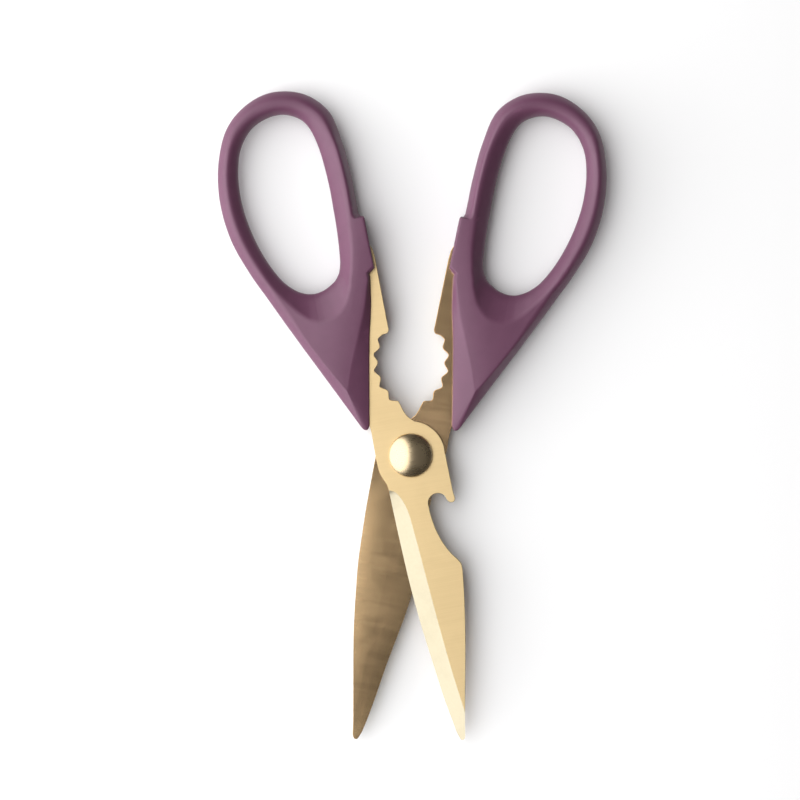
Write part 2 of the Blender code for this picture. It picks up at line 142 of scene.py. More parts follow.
def grown(outline: list[Point], distance: float) -> list[Point]:
    """A closed anticlockwise outline, moved outwards.

    Args:
        outline: The outline's points.
        distance: How far each side moves.

    Returns:
        The moved points, one for each of the outline's.
    """
    moved = []
    for before, here, after in zip(outline[-1:] + outline[:-1], outline, outline[1:] + outline[:1]):
        side_in = np.subtract(here, before) / math.dist(here, before)
        side_out = np.subtract(after, here) / math.dist(after, here)
        along = side_in + side_out
        normal = np.array((along[1], -along[0])) / np.linalg.norm(along)
        moved.append((here[0] + normal[0] * distance, here[1] + normal[1] * distance))
    return moved


# ---------------------------------------------------------------- meshes

def mesh_of(obj: bpy.types.Object) -> bpy.types.Mesh:
    """The mesh that an object's modifiers make, with the object removed.

    Args:
        obj: The object.

    Returns:
        Its final mesh.
    """
    bpy.context.view_layer.update()
    mesh = bpy.data.meshes.new_from_object(obj.evaluated_get(bpy.context.evaluated_depsgraph_get()))
    bpy.data.objects.remove(obj, do_unlink=True)
    return mesh


def linked(name: str, data: bpy.types.ID) -> bpy.types.Object:
    """A new object in the scene.

    Args:
        name: The object's name.
        data: Its mesh, curve, lamp or camera.

    Returns:
        The object.
    """
    obj = bpy.data.objects.new(name, data)
    bpy.context.scene.collection.objects.link(obj)
    return obj


def clean(mesh: bpy.types.Mesh) -> bpy.types.Mesh:
    """The mesh with its doubled points welded and its faces turned outwards.

    Args:
        mesh: The mesh, which is changed.

    Returns:
        The same mesh.
    """
    shell = bmesh.new()
    shell.from_mesh(mesh)
    bmesh.ops.remove_doubles(shell, verts=shell.verts, dist=1e-6)
    bmesh.ops.recalc_face_normals(shell, faces=shell.faces)
    shell.to_mesh(mesh)
    shell.free()
    return mesh


def plate(name: str, outlines: list[list[Point]], low: float, high: float,
          rim: float = 0.0) -> bpy.types.Mesh:
    """A flat plate with softened rims.

    Args:
        name: The mesh's name.
        outlines: The plate's edge, then its holes, in millimetres.
        low: Level of the underside, in millimetres.
        high: Level of the top, in millimetres.
        rim: Radius of the rounded rims, in millimetres.

    Returns:
        A closed mesh in metres.
    """
    curve = bpy.data.curves.new(name, "CURVE")
    curve.dimensions = "2D"
    curve.fill_mode = "BOTH"
    curve.extrude = ((high - low) / 2 - rim) * MM
    if rim:
        curve.bevel_depth = rim * MM
        curve.bevel_resolution = 2
        curve.offset = -rim * MM
    for outline in outlines:
        spline = curve.splines.new("POLY")
        spline.points.add(len(outline) - 1)
        for point, (x, y) in zip(spline.points, outline):
            point.co = (x * MM, y * MM, 0.0, 1.0)
        spline.use_cyclic_u = True
    mesh = mesh_of(linked(name, curve))
    mesh.name = name
    mesh.transform(Matrix.Translation((0.0, 0.0, (low + high) / 2 * MM)))
    return clean(mesh)


def turned(name: str, profile: list[Point], steps: int = 96) -> bpy.types.Mesh:
    """A solid turned about Z.

    Args:
        name: The mesh's name.
        profile: Radius and height, down the outer side from top to bottom, in millimetres.
        steps: How many faces it has around.

    Returns:
        A closed mesh in metres.
    """
    mesh = bpy.data.meshes.new(name)
    edges = [(i, i + 1) for i in range(len(profile) - 1)]
    mesh.from_pydata([(r * MM, 0.0, z * MM) for r, z in profile], edges, [])
    spun = linked(name, mesh)
    screw = spun.modifiers.new("Turn", "SCREW")
    screw.steps = steps
    screw.render_steps = steps
    screw.use_merge_vertices = True
    screw.merge_threshold = 1e-6
    return clean(mesh_of(spun))


def rounded_profile(corners: list[Point3], steps: int = 4) -> list[Point]:
    """A profile whose corners are rounded.

    Args:
        corners: Across, up and rounding radius of each corner; the ends are kept as they are.
        steps: How many stretches a rounding is divided into.

    Returns:
        The profile's points.
    """
    points: list[Point] = [corners[0][:2]]
    for before, here, after in zip(corners, corners[1:], corners[2:]):
        corner = np.array(here[:2])
        to_before = np.array(before[:2]) - corner
        to_after = np.array(after[:2]) - corner
        shortest = min(np.linalg.norm(to_before), np.linalg.norm(to_after))
        reach = min(here[2], CORNER_SHARE * shortest)
        start = corner + to_before / np.linalg.norm(to_before) * reach
        end = corner + to_after / np.linalg.norm(to_after) * reach
        for step in range(steps + 1):
            t = step / steps
            point = start * (1 - t) ** 2 + corner * 2 * t * (1 - t) + end * t ** 2
            points.append((float(point[0]), float(point[1])))
            if reach == 0:
                break
    points.append(corners[-1][:2])
    return points


def loft(name: str, rings: list[list[Point3]], capped: bool) -> bpy.types.Mesh:
    """A closed skin over rings of equal length.

    Args:
        name: The mesh's name.
        rings: Closed rings of points, in millimetres.
        capped: Whether each end has a face over it; if not, the last ring is joined to the first.

    Returns:
        A closed mesh in metres.
    """
    shell = bmesh.new()
    grid = [[shell.verts.new((x * MM, y * MM, z * MM)) for x, y, z in ring] for ring in rings]
    for ring, following in zip(grid, grid[1:] if capped else grid[1:] + grid[:1]):
        for i in range(len(ring)):
            j = (i + 1) % len(ring)
            shell.faces.new((ring[i], ring[j], following[j], following[i]))
    if capped:
        shell.faces.new(list(reversed(grid[0])))
        shell.faces.new(grid[-1])
    bmesh.ops.recalc_face_normals(shell, faces=shell.faces)
    mesh = bpy.data.meshes.new(name)
    shell.to_mesh(mesh)
    shell.free()
    return mesh


def without(body: bpy.types.Mesh, *cutters: bpy.types.Mesh) -> bpy.types.Mesh:
    """A mesh with other meshes' shapes taken out of it.

    Args:
        body: The mesh to cut.
        *cutters: The closed meshes that are taken out.

    Returns:
        The cut mesh, under the body's name.
    """
    name = body.name
    target = linked(name, body)
    tools = []
    for cutter in cutters:
        tool = linked(cutter.name, cutter)
        tools.append(tool)
        modifier = target.modifiers.new("Cut", "BOOLEAN")
        modifier.operation = "DIFFERENCE"
        modifier.solver = "EXACT"
        modifier.object = tool
    mesh = mesh_of(target)
    for tool in tools:
        bpy.data.objects.remove(tool, do_unlink=True)
    mesh.name = name
    return mesh


def shade(mesh: bpy.types.Mesh, angle: float) -> None:
    """Smooth shading that keeps edges sharper than an angle in degrees."""
    mesh.shade_smooth()
    mesh.set_sharp_from_angle(angle=math.radians(angle))


# ---------------------------------------------------------------- node wiring

class Wiring:
    """Adds nodes to a tree and links them, so that a shader reads as a list of steps."""

    def __init__(self, tree: bpy.types.NodeTree) -> None:
        """Work on a node tree."""
        self.tree = tree

    def node(self, kind: str, settings: dict | None = None, **inputs: object) -> bpy.types.Node:
        """A new node.

        Args:
            kind: Blender's node type.
            settings: Properties of the node itself.
            **inputs: Values or output sockets for its inputs, by name with _ for a space.

        Returns:
            The node.
        """
        made = self.tree.nodes.new(kind)
        for key, value in (settings or {}).items():
            setattr(made, key, value)
        for key, value in inputs.items():
            self.feed(made.inputs[key.replace("_", " ")], value)
        return made

    def feed(self, socket: bpy.types.NodeSocket, value: object) -> None:
        """Link an output socket to an input, or set the input to a value.

        Args:
            socket: The input.
            value: An output socket, or a value for the input.
        """
        if isinstance(value, bpy.types.NodeSocket):
            self.tree.links.new(value, socket)
        else:
            socket.default_value = value

    def math(self, operation: str, first: object, second: object = 0.0) -> bpy.types.NodeSocket:
        """The result of a Math node.

        Args:
            operation: Blender's name of the operation.
            first: A value or an output socket.
            second: Another one, where the operation has two.

        Returns:
            The node's output.
        """
        made = self.node("ShaderNodeMath", {"operation": operation})
        self.feed(made.inputs[0], first)
        self.feed(made.inputs[1], second)
        return made.outputs[0]

    def ramp(self, value: object, low: float, high: float, to_low: float = 0.0,
             to_high: float = 1.0) -> bpy.types.NodeSocket:
        """A value mapped from one range to another, smoothly and clamped.

        Args:
            value: The value or output socket.
            low: Where the range begins.
            high: Where it ends.
            to_low: What its beginning becomes.
            to_high: What its end becomes.

        Returns:
            The node's output.
        """
        made = self.node("ShaderNodeMapRange", {"interpolation_type": "SMOOTHSTEP"}, Value=value)
        for key, number in zip(("From Min", "From Max", "To Min", "To Max"), (low, high, to_low, to_high)):
            made.inputs[key].default_value = number
        return made.outputs["Result"]

    def mix(self, factor: object, first: object, second: object) -> bpy.types.NodeSocket:
        """Two colours mixed by a factor.

        Args:
            factor: 0 for the first colour, 1 for the second.
            first: A colour or an output socket.
            second: Another one.

        Returns:
            The node's output.
        """
        made = self.node("ShaderNodeMix", {"data_type": "RGBA"})
        self.feed(made.inputs["Factor"], factor)
        self.feed(made.inputs["A"], first)
        self.feed(made.inputs["B"], second)
        return made.outputs["Result"]

    def noise(self, vector: object, scale: float, detail: float = 2.0) -> bpy.types.NodeSocket:
        """A noise texture's value."""
        made = self.node("ShaderNodeTexNoise", None, Vector=vector, Scale=scale, Detail=detail)
        return made.outputs["Fac"]

    def blend(self, first: object, share: float, second: object, other_share: float
              ) -> bpy.types.NodeSocket:
        """Two values added up, each times its share."""
        return self.math("ADD", self.math("MULTIPLY", first, share),
                         self.math("MULTIPLY", second, other_share))


class Effects:
    """Shader node groups that several finishes share, each built once."""

    def __init__(self) -> None:
        """Start with no group built."""
        self.groups: dict[str, bpy.types.NodeTree] = {}

    def group(self, name: str, inputs: dict[str, float | None], outputs: list[str]
              ) -> tuple[Wiring, bpy.types.Node, bpy.types.Node] | None:
        """Begin a node group, unless it is already there.

        Args:
            name: The group's name.
            inputs: Each input's name and default; None marks a vector.
            outputs: The outputs' names, all of them values.

        Returns:
            The wiring and the group's input and output nodes, or None if it was built before.
        """
        if name in self.groups:
            return None
        tree = bpy.data.node_groups.new(name, "ShaderNodeTree")
        self.groups[name] = tree
        for key, default in inputs.items():
            kind = "NodeSocketVector" if default is None else "NodeSocketFloat"
            socket = tree.interface.new_socket(key, in_out="INPUT", socket_type=kind)
            if default is not None:
                socket.default_value = default
        for key in outputs:
            tree.interface.new_socket(key, in_out="OUTPUT", socket_type="NodeSocketFloat")
        wiring = Wiring(tree)
        return wiring, wiring.node("NodeGroupInput"), wiring.node("NodeGroupOutput")

    def place(self, wiring: Wiring, name: str, **inputs: object) -> bpy.types.Node:
        """Put a group into a material, with its own values."""
        return wiring.node("ShaderNodeGroup", {"node_tree": self.groups[name]}, **inputs)

    def grinding_lines(self) -> str:
        """Fine lines left across the steel by a grinding belt, slightly bowed.

        Returns:
            The group's name. Its outputs are Lines, the visible streaks, and Height, for a bump.
        """
        name = "grinding_lines"
        begun = self.group(name, {"Vector": None, "Across": 45.0, "Fineness": 3200.0, "Bow": 0.0},
                           ["Lines", "Height"])
        if begun:
            w, given, out = begun
            parts = w.node("ShaderNodeSeparateXYZ", None, Vector=given.outputs["Vector"])
            x, y, z = parts.outputs
            bowed = w.math("ADD", y, w.math("MULTIPLY", w.math("MULTIPLY", x, x), given.outputs["Bow"]))
            along = w.math("MULTIPLY", x, given.outputs["Across"])
            depth = w.math("MULTIPLY", z, given.outputs["Fineness"])
            fine_y = w.math("MULTIPLY", bowed, given.outputs["Fineness"])
            coarse_y = w.math("MULTIPLY", fine_y, 0.27)
            fine = w.node("ShaderNodeCombineXYZ", None, X=along, Y=fine_y, Z=depth)
            coarse = w.node("ShaderNodeCombineXYZ", None, X=along, Y=coarse_y, Z=depth)
            fine_lines = w.noise(fine.outputs[0], 1.0, 3.0)
            coarse_lines = w.noise(coarse.outputs[0], 1.0, 2.0)
            both = w.blend(fine_lines, 0.55, coarse_lines, 0.45)
            w.feed(out.inputs["Lines"], w.ramp(both, 0.36, 0.64))
            w.feed(out.inputs["Height"], fine_lines)
        return name

    def handling_marks(self) -> str:
        """Soft patches where a surface has been handled.

        Returns:
            The group's name. Its output is Mask, from 0 where it is clean to 1.
        """
        name = "handling_marks"
        begun = self.group(name, {"Vector": None, "Size": 70.0}, ["Mask"])
        if begun:
            w, given, out = begun
            broad = w.node("ShaderNodeTexNoise", None, Vector=given.outputs["Vector"],
                           Scale=given.outputs["Size"], Detail=4.0, Distortion=0.5)
            w.feed(out.inputs["Mask"], w.ramp(broad.outputs["Fac"], 0.42, 0.68))
        return name

    def hairlines(self) -> str:
        """Sparse fine scratches that run at an angle to the grinding lines.

        Returns:
            The group's name. Its output is Mask, 1 on a scratch.
        """
        name = "hairlines"
        begun = self.group(name, {"Vector": None, "Turn": 1.1, "Density": 0.5}, ["Mask"])
        if begun:
            w, given, out = begun
            turned_by = w.node("ShaderNodeVectorRotate", {"rotation_type": "Z_AXIS"},
                               Vector=given.outputs["Vector"], Angle=given.outputs["Turn"])
            stretched = w.node("ShaderNodeVectorMath", {"operation": "MULTIPLY"})
            w.feed(stretched.inputs[0], turned_by.outputs[0])
            w.feed(stretched.inputs[1], (26.0, 1900.0, 300.0))
            lines = w.noise(stretched.outputs[0], 1.0, 0.0)
            thin = w.ramp(lines, 0.76, 0.84)
            where = w.ramp(w.noise(given.outputs["Vector"], 160.0, 1.0), 0.45, 0.6)
            w.feed(out.inputs["Mask"], w.math("MULTIPLY", w.math("MULTIPLY", thin, where),
                                              given.outputs["Density"]))
        return name

    def rubbed_and_highlit_edges(self) -> str:
        """Raised edges made lighter, broken up by noise: partly rubbed by hands and use, partly a painted
        highlight along the ridges.

        Returns:
            The group's name. Its output is Mask, 1 where the edge is made lightest.
        """
        name = "rubbed_and_highlit_edges"
        begun = self.group(name, {"Vector": None, "Amount": 0.5}, ["Mask"])
        if begun:
            w, given, out = begun
            # Convex edges made lighter: partly rubbing, partly a painted highlight along the ridges.
            edge = w.node("ShaderNodeNewGeometry").outputs["Pointiness"]
            raised = w.ramp(edge, 0.505, 0.56)
            broken = w.ramp(w.noise(given.outputs["Vector"], 420.0, 3.0), 0.3, 0.65)
            w.feed(out.inputs["Mask"], w.math("MULTIPLY", w.math("MULTIPLY", raised, broken),
                                              given.outputs["Amount"]))
        return name

    def moulded_skin(self) -> str:
        """The fine matt grain of a spark-eroded mould.

        Returns:
            The group's name. Its outputs are Height, for a bump, and Mottle, a faint unevenness.
        """
        name = "moulded_skin"
        begun = self.group(name, {"Vector": None, "Grain": 2600.0}, ["Height", "Mottle"])
        if begun:
            w, given, out = begun
            fine = w.node("ShaderNodeTexNoise", None, Vector=given.outputs["Vector"],
                          Scale=given.outputs["Grain"], Detail=3.0)
            pits = w.node("ShaderNodeTexVoronoi", {"feature": "SMOOTH_F1"},
                          Vector=given.outputs["Vector"], Scale=given.outputs["Grain"])
            w.feed(out.inputs["Height"], w.blend(fine.outputs["Fac"], 0.7, pits.outputs["Distance"], 0.3))
            w.feed(out.inputs["Mottle"], w.ramp(w.noise(given.outputs["Vector"], 260.0, 5.0), 0.3, 0.7))
        return name


# ---------------------------------------------------------------- finishes

def scaled(colour: Colour, share: float) -> Colour:
    """A colour made lighter or darker by a share."""
    return (colour[0] * share, colour[1] * share, colour[2] * share, colour[3])


@dataclass(frozen=True)
class Finish:
    """A surface finish: what every finish has, and how its material begins.

    Attributes:
        name: The material's name.
        colour: Its main colour.
        roughness: Its mean roughness.
        metallic: 1 for metal, 0 for plastic.
    """

    name: str
    colour: Colour
    roughness: float
    metallic: float

    def begin(self, turn: float) -> tuple[bpy.types.Material, Wiring, bpy.types.Node, bpy.types.NodeSocket]:
        """Start the material.

        Args:
            turn: How far the piece is turned from upright, in radians.

        Returns:
            The material, its wiring, its shader and the piece's upright coordinates.
        """
        material = bpy.data.materials.new(self.name)
        material.use_nodes = True
        material.diffuse_color = self.colour
        wiring = Wiring(material.node_tree)
        shader = material.node_tree.nodes["Principled BSDF"]
        shader.inputs["Metallic"].default_value = self.metallic
        place = wiring.node("ShaderNodeTexCoord").outputs["Object"]
        upright = wiring.node("ShaderNodeVectorRotate", {"rotation_type": "Z_AXIS"},
                              Vector=place, Angle=-turn)
        return material, wiring, shader, upright.outputs[0]


@dataclass(frozen=True)
class GoldFinish(Finish):
    """Gold-coated steel, from satin to nearly polished.

    Attributes:
        streaks: How strongly the grinding lines show.
        fineness: Grinding lines for each metre.
        bow: How far the lines curve.
        relief: Strength of the bump.
        hairline: How much the hairline scratches show.
    """

    metallic: float = 1.0
    streaks: float = 0.1
    fineness: float = 3200.0
    bow: float = 0.0
    relief: float = 0.1
    hairline: float = 0.3

    def material(self, effects: Effects, turn: float) -> bpy.types.Material:
        """Build the material.

        Args:
            effects: The shared node groups.
            turn: How far the piece is turned from upright, in radians.

        Returns:
            The material.
        """
        material, w, shader, place = self.begin(turn)
        lines = effects.place(w, effects.grinding_lines(), Vector=place, Fineness=self.fineness,
                              Bow=self.bow)
        marks = effects.place(w, effects.handling_marks(), Vector=place)
        scratch = effects.place(w, effects.hairlines(), Vector=place, Density=self.hairline)
        darker = w.blend(lines.outputs["Lines"], self.streaks, marks.outputs["Mask"], 0.06)
        base = w.mix(darker, self.colour, scaled(self.colour, 0.55))
        w.feed(shader.inputs["Base Color"], w.mix(scratch.outputs["Mask"], base, scaled(self.colour, 1.12)))
        rougher = w.blend(lines.outputs["Lines"], 0.04, marks.outputs["Mask"], 0.04)
        w.feed(shader.inputs["Roughness"], w.math("ADD", rougher, self.roughness - 0.04))
        if self.relief:
            bump = w.node("ShaderNodeBump", None, Height=lines.outputs["Height"], Strength=self.relief,
                          Distance=0.00002)
            w.feed(shader.inputs["Normal"], bump.outputs["Normal"])
        return material


@dataclass(frozen=True)
class PlasticFinish(Finish):
    """Moulded plastic with a fine matt grain.

    Attributes:
        grain: Grains for each metre.
        relief: Strength of the bump.
        edge_rub_and_highlight: How much the raised edges are made lighter, partly as rubbing, partly as a
            painted highlight.
    """

    metallic: float = 0.0
    grain: float = 2600.0
    relief: float = 0.35
    edge_rub_and_highlight: float = 0.5

    def material(self, effects: Effects, turn: float) -> bpy.types.Material:
        """Build the material.

        Args:
            effects: The shared node groups.
            turn: How far the piece is turned from upright, in radians.

        Returns:
            The material.
        """
        material, w, shader, place = self.begin(turn)
        skin = effects.place(w, effects.moulded_skin(), Vector=place, Grain=self.grain)
        rub_and_highlight_mask = effects.place(w, effects.rubbed_and_highlit_edges(), Vector=place, Amount=self.edge_rub_and_highlight)
        marks = effects.place(w, effects.handling_marks(), Vector=place, Size=45.0)
        mottle = w.math("MULTIPLY", skin.outputs["Mottle"], 0.5)
        mottled = w.mix(mottle, self.colour, scaled(self.colour, 0.88))
        # Raised edges lighter: partly rubbing by hands, partly a painted highlight along the ridges.
        w.feed(shader.inputs["Base Color"], w.mix(rub_and_highlight_mask.outputs["Mask"], mottled, scaled(self.colour, 1.35)))
        smoother = w.blend(rub_and_highlight_mask.outputs["Mask"], -0.12, marks.outputs["Mask"], -0.06)
        w.feed(shader.inputs["Roughness"], w.math("ADD", smoother, self.roughness))
        bump = w.node("ShaderNodeBump", None, Height=skin.outputs["Height"], Strength=self.relief,
                      Distance=0.00003)
        w.feed(shader.inputs["Normal"], bump.outputs["Normal"])
        return material


@dataclass(frozen=True)
class Palette:
    """The finishes that these shears have, with painted shade in the bevel's colour and painted light in
    the tang's.
    """

    face: GoldFinish = GoldFinish("satin_gold_face", (0.82, 0.63, 0.345, 1.0), 0.52, streaks=0.05,
                                  relief=0.0)
    # The bevel's colour is a darker, greyer copy of the gold: painted shade that holds down its bright
    # reflection of the window.
    bevel: GoldFinish = GoldFinish("painted_shade_bevel_gold", (0.43, 0.385, 0.28, 1.0), 0.36, streaks=0.06)
    inner: GoldFinish = GoldFinish("ground_gold_inner_face", (0.58, 0.40, 0.215, 1.0), 0.17, streaks=0.36,
                                   bow=1.2, relief=0.0, fineness=1500.0, hairline=0.1)
    # The tang's colour is a lighter copy of the inner face's gold on the same ground steel: painted light
    # for the flat tang.
    tang: GoldFinish = GoldFinish("painted_light_tang_gold", (0.86, 0.585, 0.32, 1.0), 0.17, streaks=0.3,
                                  bow=1.2, relief=0.0, fineness=1500.0, hairline=0.1)
    wall: GoldFinish = GoldFinish("gold_cut_edge", (0.50, 0.36, 0.19, 1.0), 0.40, streaks=0.14, relief=0.03)
    dome: GoldFinish = GoldFinish("polished_gold_pivot", (0.65, 0.52, 0.33, 1.0), 0.30, streaks=0.02,
                                  relief=0.0, hairline=0.15)
    handle: PlasticFinish = PlasticFinish("plum_plastic", (0.134, 0.049, 0.094, 1.0), 0.46)
    acetal: PlasticFinish = PlasticFinish("black_acetal", (0.028, 0.028, 0.03, 1.0), 0.42, edge_rub_and_highlight=0.15)
    spring: GoldFinish = GoldFinish("spring_steel", (0.48, 0.48, 0.49, 1.0), 0.33, streaks=0.12)


# ---------------------------------------------------------------- frame of the two halves

class Half(Enum):
    """The two halves of the shears."""

    FRONT = "front"
    REAR = "rear"


@dataclass(frozen=True)
class Levels:
    """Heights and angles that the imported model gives, in millimetres and degrees.

    Attributes:
        middle: Height of the plane where the blades meet.
        inner: From that plane to a blade's inner face.
        outer: From that plane to a blade's outer face.
        handle: Half the handles' thickness.
        opening: Angle between the halves at rest.
    """

    middle: float
    inner: float
    outer: float
    handle: float
    opening: float

    @classmethod
    def from_model(cls) -> "Levels":
        """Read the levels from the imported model.

        Returns:
            The levels.
        """
        front_low, front_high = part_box("front_blade")
        rear_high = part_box("rear_blade")[1]
        handle_low, handle_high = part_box("front_handle")
        middle = (front_low[2] + rear_high[2]) / 2
        return cls(middle / MM, (front_low[2] - middle) / MM, (front_high[2] - middle) / MM,
                   (handle_high[2] - handle_low[2]) / 2 / MM, -frame["joints"][0]["range_deg"][0])

    def turn(self, half: Half) -> float:
        """How far a half is turned from upright at rest, in radians."""
        return math.radians(self.opening / 2 if half is Half.FRONT else -self.opening / 2)

    def matrix(self, half: Half) -> Matrix:
        """Where a half that is drawn upright lies; the rear one is turned over."""
        laid = Matrix.Translation((0.0, 0.0, self.middle * MM)) @ Matrix.Rotation(self.turn(half), 4, "Z")
        return laid if half is Half.FRONT else laid @ Matrix.Rotation(math.pi, 4, "Y")


class Workshop:
    """Puts finished pieces into the scene and keeps what they share."""

    def __init__(self) -> None:
        """Read the model's levels and prepare the finishes."""
        self.levels = Levels.from_model()
        self.effects = Effects()
        self.palette = Palette()
        self.materials: dict[tuple[str, Half], bpy.types.Material] = {}

    def material(self, finish: GoldFinish | PlasticFinish, half: Half) -> bpy.types.Material:
        """A finish's material on one half, built the first time that it is asked for.

        Args:
            finish: The finish.
            half: The half that the piece is on.

        Returns:
            The material.
        """
        key = (finish.name, half)
        if key not in self.materials:
            self.materials[key] = finish.material(self.effects, self.levels.turn(half))
            self.materials[key].name = finish.name + "_" + half.value
        return self.materials[key]

    def place(self, mesh: bpy.types.Mesh, half: Half, node: str, slot: str,
              finishes: list[GoldFinish | PlasticFinish]) -> None:
        """Put a piece where its half lies, in the place of a node of the model.

        Args:
            mesh: The piece's mesh, in its half's own frame.
            half: The half that it moves with.
            node: The node that it stands for.
            slot: The record's material slot; not used.
            finishes: Its finishes, in the order of its faces' material numbers.
        """
        mesh.transform(self.levels.matrix(half))
        for finish in finishes:
            mesh.materials.append(self.material(finish, half))
        piece = linked(node + "_finished", mesh)
        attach(piece, half.value + "_half")
        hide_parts(node)
        LOG.info("%s: %d faces", piece.name, len(mesh.polygons))


# ---------------------------------------------------------------- blades

@dataclass(frozen=True)
class BladeShape:
    """The outlines of a blade and its tang, in millimetres.

    Attributes:
        boss_radius: Radius of the round part about the pivot.
        tang_edge: How far the tang reaches past the middle line.
        jaw_centre: Centre of the arc that the jaw's hollows lie on.
        jaw_radius: Radius of that arc.
        jaw_first: Angle of the topmost hollow, in degrees.
        jaw_pitch: Angle from one hollow to the next, in degrees.
        jaw_hollows: How many hollows the jaw has.
        tooth_height: How far the teeth stand out of the arc.
        tooth_shape: Power that makes the teeth a little blunter than a sine wave.
        jaw_top: Where the jaw ends.
        opener_centre: Centre of the bottle opener's round notch.
        opener_radius: Its radius.
        pivot_hole: Radius of the pivot's hole.
        key_holes: Middle and radius of each hole that holds the handle.
    """

    boss_radius: float = 11.35
    tang_edge: float = 0.75
    jaw_centre: Point = (11.5, 29.5)
    jaw_radius: float = 17.95
    jaw_first: float = 145.0
    jaw_pitch: float = 17.4
    jaw_hollows: int = 5
    tooth_height: float = 1.45
    tooth_shape: float = 0.8
    jaw_top: float = 41.3
    opener_centre: Point = (5.9, -17.1)
    opener_radius: float = 3.2
    pivot_hole: float = 3.6
    key_holes: tuple[tuple[float, float, float], ...] = ((-10.6, 36.0, 2.5), (-5.2, 56.5, 1.5))

    def jaw(self) -> list[Point]:
        """The toothed jaw, from the tooth nearest the pivot up to the topmost hollow.

        Returns:
            The jaw's points.
        """
        steps = 24
        run = []
        for step in range(int((self.jaw_hollows - 0.5) * steps), -1, -1):
            turn = step / steps
            angle = math.radians(self.jaw_first + self.jaw_pitch * turn)
            tooth = (math.sin(math.pi * turn) ** 2) ** self.tooth_shape
            radius = self.jaw_radius - self.tooth_height * tooth
            run.append((self.jaw_centre[0] + radius * math.cos(angle),
                        self.jaw_centre[1] + radius * math.sin(angle)))
        return run

    def tang(self) -> list[list]:
        """Runs from the boss up the jaw, over the tang and down its hidden back.

        Returns:
            The runs: boss, throat, jaw, corner, and the tang down to the cutting edge's heel.
        """
        boss = arc((0, 0), self.boss_radius, -5, 73, 36)
        jaw = self.jaw()
        throat = smooth([boss[-1], (1.4, 12.9), (0.5, 14.8), (0.0, 16.6), jaw[0]], 6)
        corner = [jaw[-1], (-1.6, 40.7), (0.1, 41.0), (self.tang_edge, self.jaw_top + 0.7)]
        top = [(self.tang_edge, 66), (self.tang_edge - 0.4, 69.3), (-0.9, 71.5), (-3.2, 72.3), (-5.6, 71.3)]
        back = [(-6.8, 67), (-7.4, 60), (-9.6, 52), (-14.4, 44), (-16.4, 36), (-15.2, 27), (-12.8, 18)]
        side = -self.boss_radius
        shoulder = [(side, 11), (side, 5), (side, 0), (-11.1, -3.8), (-10.2, -6.4)]
        return [boss, throat, jaw, smooth(corner, 8), smooth(top + back + shoulder, 8)]

    def front(self) -> list[Point]:
        """The front blade, anticlockwise from its tip, with the bottle opener in its spine.

        Returns:
            The closed outline's points.
        """
        spine = [(0.3, -94.2), (1.0, -90), (3.0, -80), (5.0, -70), (6.9, -60), (8.8, -48), (9.8, -40)]
        cheek = [(9.8, -40), (9.7, -38.2), (8.9, -36.6), (7.0, -34), (5.0, -30), (3.5, -25), (2.8, -20)]
        notch = arc(self.opener_centre, self.opener_radius, 180, 35, 32)
        hook = [notch[-1], (9.2, -17.0), (10.1, -17.7), (11.2, -17.6), (11.7, -16.6), (11.5, -14.5)]
        heel = [(-10.2, -6.4), (-9.5, -8.0), (-9.2, -10)]
        edge = [(-9.2, -10), (-9.0, -20), (-8.7, -30), (-8.2, -42), (-7.2, -55), (-5.5, -70)]
        point = [(-4.3, -80), (-3.0, -88), (-2.0, -93.4), (-1.1, -95.4), (-0.2, -95.2), (0.3, -94.2)]
        return joined(smooth(spine, 5), smooth(cheek, 8), notch, smooth(hook, 8), *self.tang(),
                      smooth(heel, 6), smooth(edge + point, 5))

    def rear(self) -> list[Point]:
        """The rear blade, drawn the same way round, with a plain spine and a fuller belly.

        Returns:
            The closed outline's points.
        """
        spine = [(0.3, -94.2), (1.0, -90), (3.0, -80), (5.0, -70), (6.9, -60), (8.8, -47), (9.9, -38)]
        upper_spine = [(10.4, -30), (10.9, -20), (11.1, -10)]
        heel = [(-10.2, -6.4), (-9.7, -8.0), (-9.5, -10)]
        edge = [(-9.5, -10), (-9.8, -25), (-9.8, -38), (-9.5, -46), (-8.7, -53), (-7.6, -60)]
        point = [(-6.0, -70), (-4.7, -80), (-3.5, -88), (-2.4, -93.2), (-1.3, -95.4), (-0.4, -95.3)]
        return joined(smooth(spine + upper_spine, 5), *self.tang(), smooth(heel, 6),
                      smooth(edge + point + [(0.3, -94.2)], 5))

    def outline(self, half: Half) -> list[Point]:
        """The outline of one half's blade."""
        return self.front() if half is Half.FRONT else self.rear()


